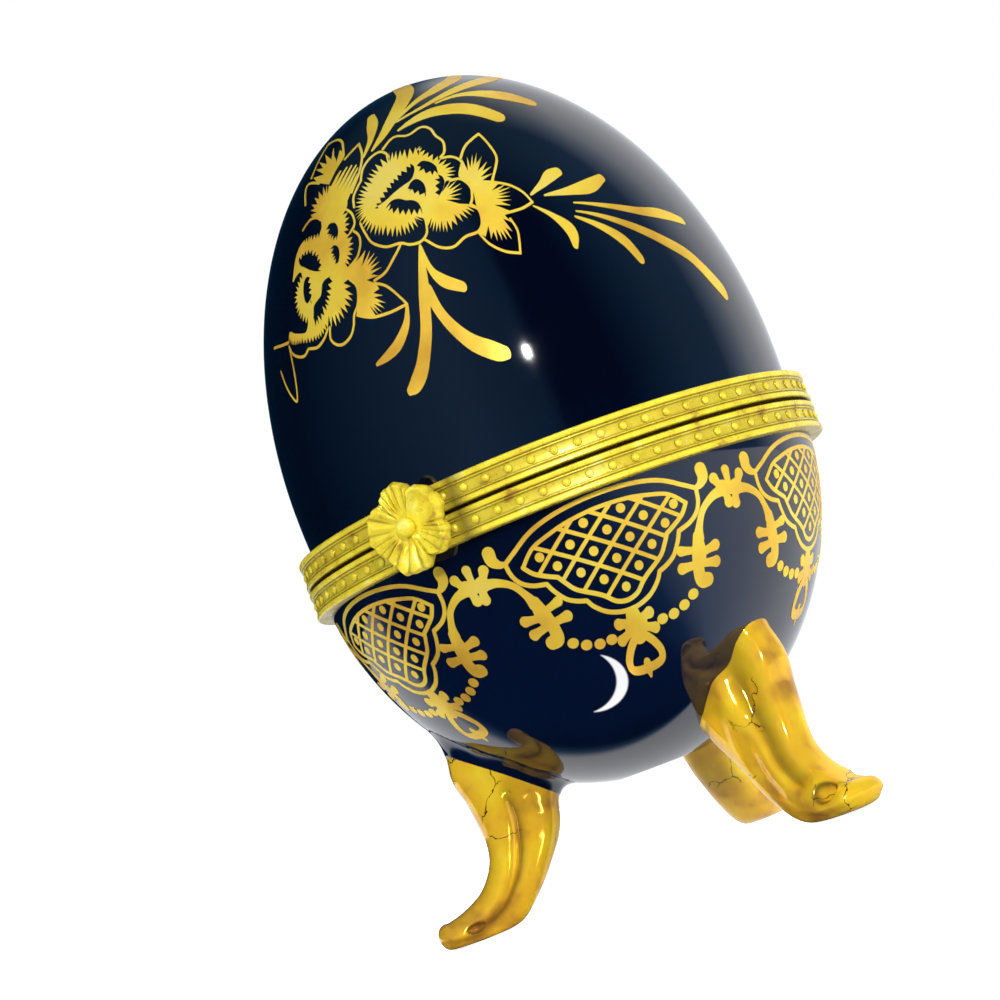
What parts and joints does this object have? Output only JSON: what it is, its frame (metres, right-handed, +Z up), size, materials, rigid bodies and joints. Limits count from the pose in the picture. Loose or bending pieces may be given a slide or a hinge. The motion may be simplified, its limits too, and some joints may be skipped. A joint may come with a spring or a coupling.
{
  "type": "hinged porcelain egg box",
  "caption": "Egg-shaped hinged trinket box in glazed porcelain on cabriole feet, with beaded gilt rims and a flower clasp.",
  "frame": {"origin": "on the floor under the egg's axis, midway between the clasp's front and the hinge's back", "axes": "+Z up along the egg's axis, -Y towards the clasp, +Y towards the hinge, +X to the right seen from the clasp"},
  "size_m": [0.0584, 0.0637, 0.0899],
  "materials": {
    "cobalt_glaze": "gloss",
    "gold_lustre": "mirror gilding",
    "gilt_brass": "bright gilt"
  },
  "bodies": {
    "base": {"base_bowl": "cobalt_glaze", "foot_front_left": "gold_lustre", "foot_front_right": "gold_lustre", "foot_rear": "gold_lustre", "base_rim": "gilt_brass", "catch_stud": "gilt_brass", "hinge_base_leaf": "gilt_brass", "hinge_pin": "gilt_brass"},
    "lid": {"lid_dome": "cobalt_glaze", "lid_rim": "gilt_brass", "hinge_lid_leaf": "gilt_brass"},
    "clasp": {"clasp_tongue": "gilt_brass", "clasp_flower": "gilt_brass", "clasp_rivet": "gilt_brass"}
  },
  "joints": [
    {"name": "lid_hinge", "type": "hinge", "parent": "base", "child": "lid", "pos_m": [0, 0.03065, 0.0408], "axis": [-1, 0, 0], "range_deg": [0, 90]},
    {"name": "clasp_flex", "type": "hinge", "parent": "lid", "child": "clasp", "pos_m": [0, -0.02973, 0.0435], "axis": [-1, 0, 0], "range_deg": [0, 8], "stiffness_Nm_per_rad": 0.05}
  ]
}
